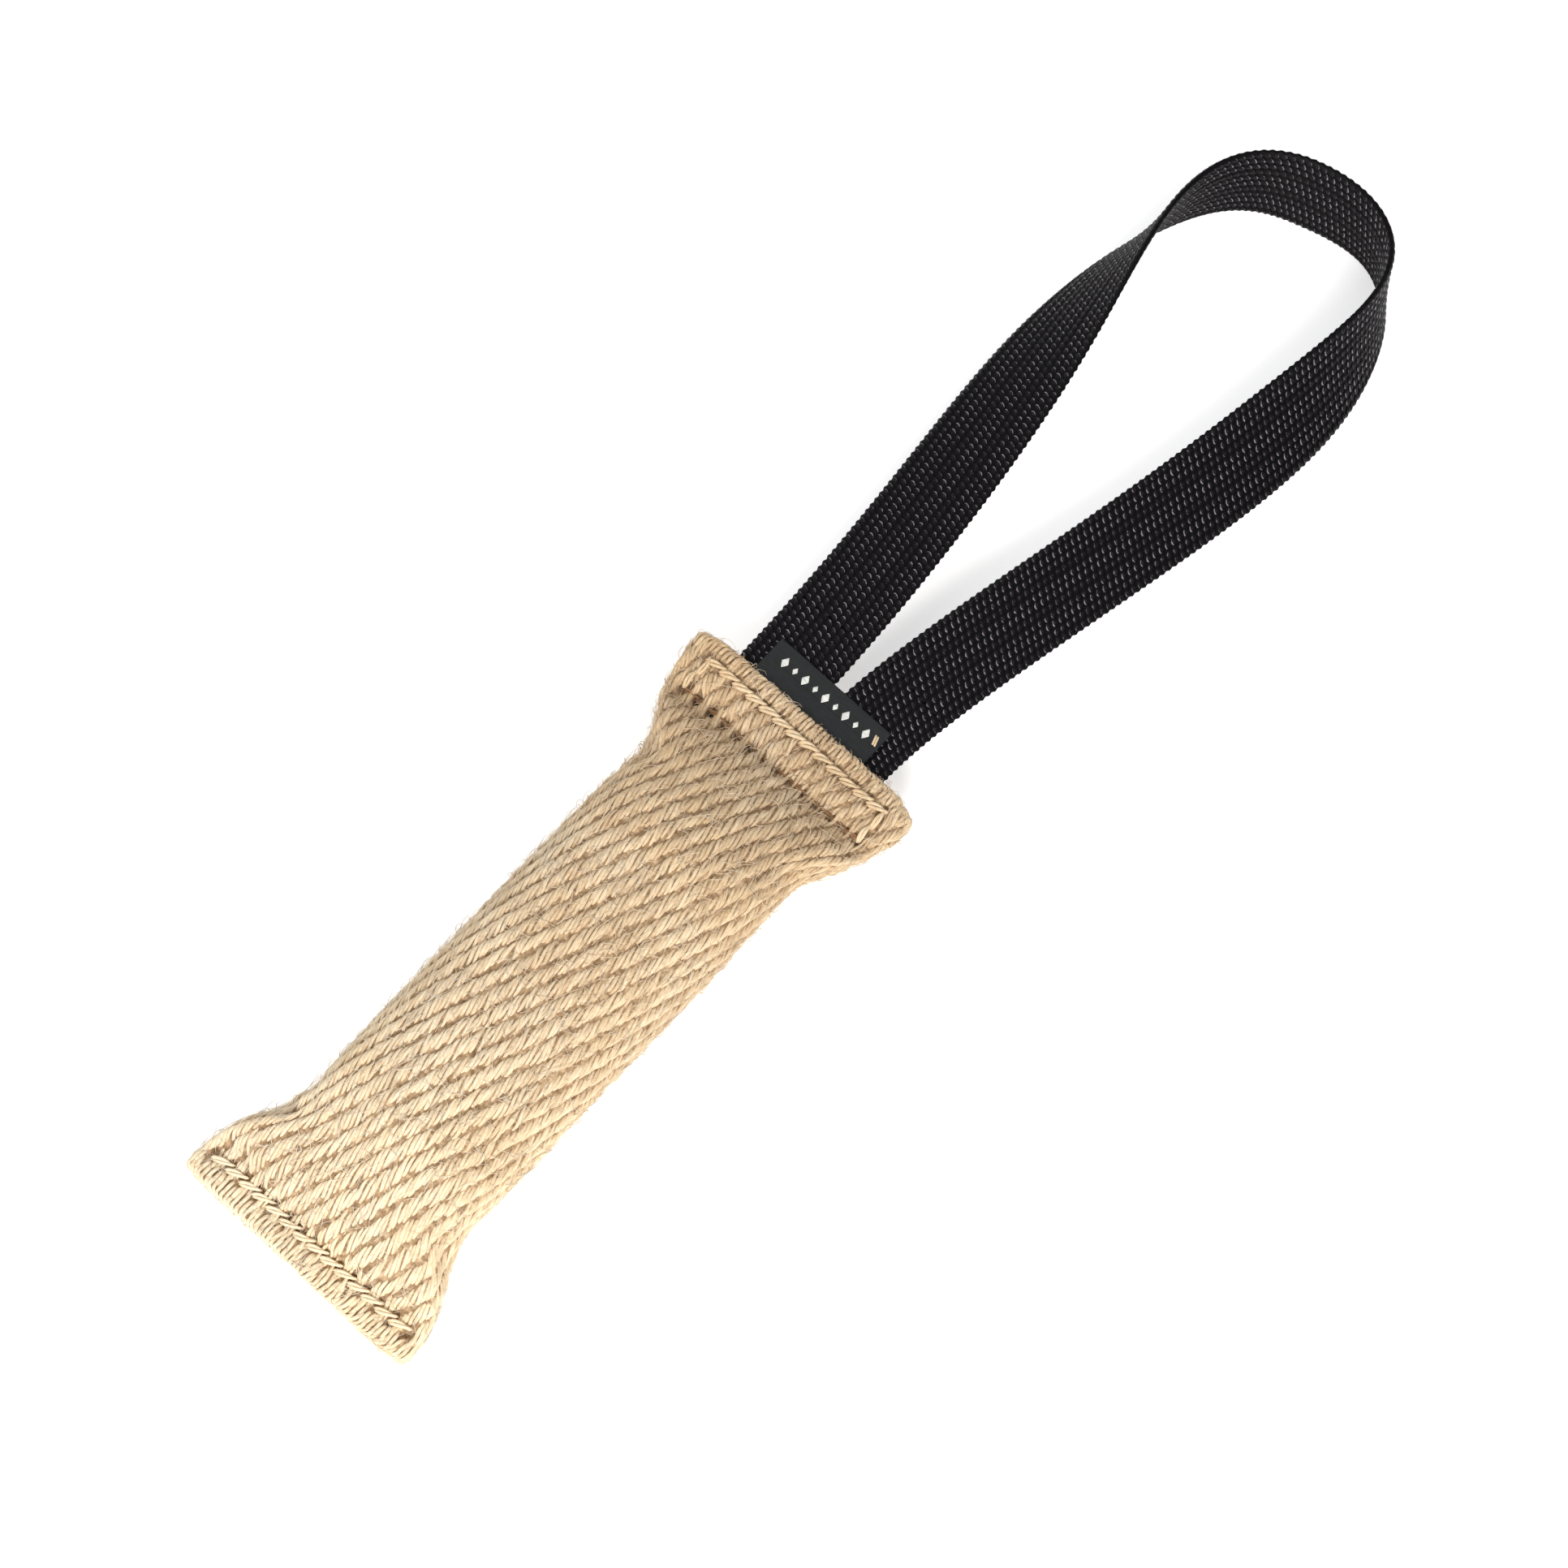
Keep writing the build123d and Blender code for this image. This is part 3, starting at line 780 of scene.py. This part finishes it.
def doubled(lines, normals, offset):
    """Two threads side by side that go half round each other from hole to hole."""
    along = np.gradient(lines, axis=1)
    along /= np.linalg.norm(along, axis=2, keepdims=True)
    across = np.cross(along, normals)
    across /= np.linalg.norm(across, axis=2, keepdims=True) + 1e-9
    raised = np.cross(across, along)
    turn = np.linspace(-0.5 * math.pi, 0.5 * math.pi, lines.shape[1])[None, :, None] + 0.4
    plies = []
    for start in (0, math.pi):
        plies.append(lines + offset * (np.cos(turn + start) * across
                                       + 0.55 * np.sin(turn + start) * raised))
    return np.concatenate(plies), np.concatenate([normals, normals])


def stitch_row(count, y):
    """The two holes of each stitch in a row across the pad."""
    holes = [((i - count / 2) * STITCH, y) for i in range(count + 1)]
    return list(zip(holes[:-1], holes[1:]))


def head_ends():
    """Two stitches up each side of the head's box."""
    middle = (HEAD_INNER_Y + HEAD_OUTER_Y) / 2
    return [((x, y), (x, y + HEAD_OUTER_Y - middle)) for x in (-HEAD_END_X, HEAD_END_X)
            for y in (HEAD_INNER_Y, middle)]


def build_stitches(material, thread_in_shade):
    """Head box and foot row, above and below: doubled thread in overlapping stitches."""
    pieces = []
    for side, half in ((1, "top"), (-1, "back")):
        for name, spans, rise, slant, thick in (
            ("foot_row", stitch_row(FOOT_STITCHES, FOOT_ROW_Y), 0.2, 2.3, 0.56),
            ("head_outer", stitch_row(HEAD_STITCHES, HEAD_OUTER_Y), 0.4, 1.7, 0.62),
            ("head_inner", stitch_row(HEAD_STITCHES, HEAD_INNER_Y), -1.6, 0.8, 0.4),
            ("head_ends", head_ends(), 0.5, 0.5, 0.55),
        ):
            starts, ends = [s[0] for s in spans], [s[1] for s in spans]
            lines, normals = stitch_lines(starts, ends, side, rise, slant)
            wander = rng.normal(0, 1, (len(lines), 1, 3)) * (0.22, 0.26, 0.14)
            lines = lines + wander * np.sin(np.linspace(0, math.pi, lines.shape[1]))[:, None]
            lines, normals = doubled(lines, normals, thick * 0.85)
            shape = np.full(lines.shape[:2], thick * 0.78)
            shape[:, 0] = shape[:, -1] = thick * 0.5
            shape *= rng.normal(1, 0.05, (len(lines), 1))
            tones = 0.5 + 0.5 * rng.random(len(lines))
            # The head's inner row takes the darker copy of the thread, painted shade for the
            # valley it lies in
            pieces.append(make_tubes(f"thread_{name}_{half}",
                                     thread_in_shade if name == "head_inner" else material,
                                     lines, normals, shape, shape, 8, 0.6, tones))
    return pieces


# ---------------------------------------------------------------- the strap

def bezier_side(side):
    """The strap's centre line on one side: its plan points, and each one's length along it."""
    start = np.array([LEG_X[side], HALF])
    near, far = HANDLES[side]
    u = np.linspace(0, 1, 4001)[:, None]
    plan = ((1 - u) ** 3 * start + 3 * (1 - u) ** 2 * u * near + 3 * (1 - u) * u ** 2 * far
            + u ** 3 * TURN)
    length = np.concatenate([[0], np.cumsum(np.linalg.norm(np.diff(plan, axis=0), axis=1))])
    return plan, length


def strap_frames(side, step):
    """Centres, across and travel directions from the hidden tail to the turn."""
    plan, length = bezier_side(side)
    total = length[-1]
    distance = np.arange(-TAIL_LENGTH, total, step)
    distance = np.append(distance, total) if total - distance[-1] > step / 2 else distance
    distance[-1] = total
    inside = np.clip(distance, 0, total)
    x, y = (np.interp(inside, length, plan[:, k]) for k in (0, 1))
    y = np.where(distance < 0, HALF + distance, y)
    tx, ty = (np.interp(inside, length, np.gradient(plan[:, k], length)) for k in (0, 1))
    tx, ty = np.where(distance < 0, 0, tx), np.where(distance < 0, 1, ty)
    size = np.hypot(tx, ty)
    travel = np.stack([tx / size, ty / size, 0 * tx], axis=1)
    sign = 1 if side == "left" else -1
    outward = np.stack([-travel[:, 1], travel[:, 0], 0 * tx], axis=1) * sign
    share = inside / total
    roll = (ROLL_AT_TURN * (1 - np.cos(math.pi * share ** ROLL_DELAY[side])) / 2)[:, None]
    across = outward * -np.cos(roll) + np.array([0, 0, 1.0]) * np.sin(roll)
    height = END_HEIGHT + (LOOP_HEIGHT - END_HEIGHT) * smooth(0, 0.8, share)
    centre = np.stack([x, y, height], axis=1)
    return distance, centre, across, travel


def weave(along, across):
    """Height of the webbing's floats: staggered beads in 11 columns, 0 to 1."""
    column = across / BEAD
    index = np.round(column)
    dx = (column - index) * 2
    beat = along / BEAT + 0.5 * (index % 2) + FLOAT_SLANT * dx
    dy = (beat - np.round(beat)) * 2
    return np.sqrt(np.maximum(0, 1 - np.abs(dx) ** 2.2 - 0.95 * np.abs(dy) ** 2.0))


def strap_shell(centre, across, travel, along):
    """One closed length of webbing with woven relief on both faces."""
    normal = np.cross(across, travel)
    half, columns = STRAP_WIDTH / 2, STRAP_COLUMNS
    width = np.linspace(-half, half, columns)
    steps = len(centre)
    loops = []
    for side in (1, -1):
        w = width if side == 1 else width[::-1]
        bead = weave(along[:, None], w[None, :])
        edge = np.clip((half - np.abs(w)) / 1.1, 0, 1)
        thick = STRAP_CORE + (STRAP_CORE + FLOAT_RISE * bead) * np.sqrt(edge)[None, :]
        scallop = 1 + 0.018 * np.cos(2 * math.pi * along / BEAT)[:, None]
        w = w[None, :] * scallop
        loops.append(centre[:, None] + across[:, None] * w[..., None]
                     + normal[:, None] * (side * thick)[..., None])
    grid = np.concatenate(loops, axis=1)
    around = grid.shape[1]
    quads = grid_quads(steps, around, wrap_columns=True)[:, ::-1]
    across_uv = np.concatenate([width, width[::-1]])
    uvs = np.stack([across_uv[quads % around], along[quads // around]], axis=-1).reshape(-1, 2)
    ends = []
    for start, flip in ((0, True), ((steps - 1) * around, False)):
        for a in range(columns - 1):
            quad = [start + a, start + a + 1, start + around - 2 - a, start + around - 1 - a]
            ends.append(quad if flip else quad[::-1])
    uvs = np.concatenate([uvs, np.zeros((4 * len(ends), 2))])
    return grid.reshape(-1, 3), quads.tolist() + ends, uvs, len(ends)


def join_shells(name, shells, material):
    """One piece from the shells, their end caps flat shaded."""
    points, faces, uvs, flat, base = [], [], [], [], 0
    for p, f, uv, caps in shells:
        points.append(p)
        uvs.append(uv)
        faces += [[v + base for v in face] for face in f]
        flat += range(len(faces) - caps, len(faces))
        base += len(p)
    return make_piece(name, np.concatenate(points), faces, material, np.concatenate(uvs),
                      flat_faces=flat)


def build_strap(material):
    """Two pieces of one strap: the legs as far as SPLIT_Y, and the loop above."""
    sides = {side: strap_frames(side, 0.5) for side in ("left", "right")}
    legs, loop = [], []
    full = sides["left"][0][-1] + sides["right"][0][-1]
    for side, (distance, centre, across, travel) in sides.items():
        cut = int(np.searchsorted(centre[:, 1], SPLIT_Y))
        travel = travel if side == "left" else -travel
        along = distance if side == "left" else full - distance
        parts = (centre, across, travel, along)
        legs.append(strap_shell(*(p[:cut + 1] for p in parts)))
        loop.append([p[cut:] for p in parts])
    left, right = loop
    whole = [np.concatenate([left[k], right[k][::-1][1:]]) for k in range(4)]
    lower = join_shells("webbing_legs", legs, material)
    upper = join_shells("webbing_loop", [strap_shell(*whole)], material)
    return lower, upper


# ---------------------------------------------------------------- the label

def label_height(x, y):
    """The strip lies on the two legs, dips a little over the gap between them, and lifts at its
    free edge."""
    dip = 0.12 * np.exp(-((x + 1.0) / 2.2) ** 2)
    lift = 0.35 * smooth(109.5, LABEL_TO, y)
    ripple = 0.08 * np.sin(x * 0.42 + 0.8) * smooth(104, 112, y)
    return LABEL_LOW + 0.10 - dip + lift + ripple


def ribbon_strip(y, z, out_y, out_z):
    """One closed thin strip: its middle line in the y-z plane and that line's outward side."""
    xs = np.linspace(-LABEL_WIDTH / 2, LABEL_WIDTH / 2, 81)
    y, z, out_y, out_z = (np.asarray(v, float)[:, None] for v in (y, z, out_y, out_z))
    sides = []
    for level in (RIBBON / 2, -RIBBON / 2):
        x = (LABEL_CENTRE + xs)[None, :] + 0 * y
        place = y + level * out_y + 0 * x
        sides.append(np.stack([x, place, label_height(x, place) + z + level * out_z], axis=-1))
    grid = np.concatenate([sides[0], sides[1][::-1]])
    rows, columns = grid.shape[:2]
    quads = grid_quads(rows, columns, wrap_rows=True).tolist()
    for a in range(rows // 2 - 1):
        b, c, d = rows - 1 - a, rows - 2 - a, a + 1
        for column, flip in ((0, False), (columns - 1, True)):
            quad = [v * columns + column for v in (a, d, c, b)]
            quads.append(quad[::-1] if flip else quad)
    return grid.reshape(-1, 3), quads


def build_label_root(material):
    """The ribbon's two layers as they come out of the seam, as far as the flap."""
    run = np.linspace(LABEL_FROM, LABEL_SPLIT, 30)
    fold, zeros = FOLD_GAP / 2, np.zeros_like(run)
    points, faces = ribbon_strip(run, zeros - fold, zeros, zeros - 1)
    upper, more = ribbon_strip(run[::-1], zeros + fold, zeros, zeros + 1)
    faces += [[v + len(points) for v in face] for face in more]
    return make_piece("seam_label_root", np.concatenate([points, upper]), faces, material)


def build_label_flap(material):
    """The ribbon's free part: it lies flat, turns at the free edge and comes back."""
    fold = FOLD_GAP / 2
    run = np.linspace(LABEL_SPLIT, LABEL_TO - fold, 24)
    turn = np.linspace(-math.pi / 2, math.pi / 2, 9)[1:-1]
    y = np.concatenate([run, LABEL_TO - fold + fold * np.cos(turn), run[::-1]])
    zeros = np.zeros_like(run)
    z = np.concatenate([zeros - fold, fold * np.sin(turn), zeros + fold])
    out_y = np.concatenate([zeros, np.cos(turn), zeros])
    out_z = np.concatenate([zeros - 1, np.sin(turn), zeros + 1])
    return make_piece("seam_label_flap", *ribbon_strip(y, z, out_y, out_z), material)


def build_motif(material):
    """A plain row of raised lozenges in pale weft, in place of the real label's mark."""
    points, faces = [], []
    turns = 24
    for k in range(LOZENGES):
        cx, cy = LABEL_CENTRE + (k - (LOZENGES - 1) / 2) * LOZENGE_PITCH, LOZENGE_Y
        half_w, half_l = (1.15, 1.75) if k % 2 == 0 else (0.8, 1.15)
        base = len(points)
        for level, shrink in ((0.0, 1.0), (0.12, 0.97), (0.16, 0.6)):
            for i in range(turns):
                turn = 2 * math.pi * i / turns
                cos_t, sin_t = math.cos(turn), math.sin(turn)
                reach = 1 / (abs(cos_t) + abs(sin_t)) ** 0.85
                x = cx + half_w * shrink * reach * cos_t
                y = cy + half_l * shrink * reach * sin_t
                points.append((x, y, float(label_height(x, y)) + LABEL_TOP + level))
        points.append((cx, cy, float(label_height(cx, cy)) + LABEL_TOP + 0.16))
        points.append((cx, cy, float(label_height(cx, cy)) + LABEL_TOP))
        for i in range(turns):
            j = (i + 1) % turns
            for ring_index in (0, 1):
                a = base + ring_index * turns
                faces.append([a + i, a + j, a + turns + j, a + turns + i])
            faces.append([base + 2 * turns + i, base + 2 * turns + j, base + 3 * turns])
            faces.append([base + j, base + i, base + 3 * turns + 1])
    return make_piece("seam_label_motif", points, faces, material)


def build_tack(material):
    """Two short threads near the label's right corner."""
    x = LABEL_CENTRE + LABEL_WIDTH / 2 - 1.5
    a = np.linspace(0, 1, 12)
    lines = []
    for shift in (-0.35, 0.35):
        y = TACK_Y + TACK_LENGTH * a
        px = x - 0.9 * a + shift
        z = label_height(px, y) + LABEL_TOP + 0.3 * np.sin(np.pi * a) - 0.1
        lines.append(np.stack([px, y, z], axis=1))
    lines = np.array(lines)
    normals = np.zeros_like(lines)
    normals[..., 2] = 1
    size = np.full(lines.shape[:2], 0.3)
    return make_tubes("label_tack_stitch", material, lines, normals, size, size, 8, 0.6,
                      np.array([0.9, 0.8]))


# ---------------------------------------------------------------- build

build_camera()
build_studio()
jute = fibre_material("jute_fibre", 0.2, (168, 136, 102), (219, 195, 161), (253, 239, 212))
down = fibre_material("jute_down", 0.25, (206, 180, 148), (240, 220, 192), (255, 250, 236))
thread = fibre_material("sewing_thread", 0.4, (180, 146, 106), (230, 206, 170), (255, 242, 216))
# A darker copy of the sewing thread: painted shade for the head's inner row, which lies in a
# valley
painted_shade_thread = fibre_material("sewing_thread_painted_shade", 0.2, (96, 66, 44), (150, 112, 78),
                             (206, 170, 130))
webbing = webbing_material()

cloth = Cloth()
cover = build_cover(cloth)
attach(cover, "pad")
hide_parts("jute_cover", "stuffing_core", "side_needle_thread", "side_bobbin_thread")
for strands in build_strands(cloth, jute) + [build_fuzz(cloth, down)]:
    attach(strands, "pad")

for stitches in build_stitches(thread, painted_shade_thread):
    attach(stitches, "pad")
    where = "head" if "head" in stitches.name else "foot"
    which = "needle" if stitches.name.endswith("top") else "bobbin"
    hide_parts(f"{where}_{which}_thread")

legs, loop = build_strap(webbing)
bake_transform(legs)
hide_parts("strap_tail_left", "strap_tail_right", "strap_leg_left", "strap_leg_right")
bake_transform(loop)
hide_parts("strap_loop_left", "strap_loop_right", "strap_turn_left", "strap_turn_right")

satin = satin_material("label_satin", srgb(12, 14, 15), srgb(24, 26, 28))
root, flap = build_label_root(satin), build_label_flap(satin)
motif = build_motif(satin_material("label_weft", srgb(196, 196, 192), srgb(236, 236, 230)))
tack = build_tack(thread)
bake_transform(root)
for piece in (flap, motif, tack):
    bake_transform(piece)
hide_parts("label_tail")
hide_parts("seam_label")
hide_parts("label_tack_thread")
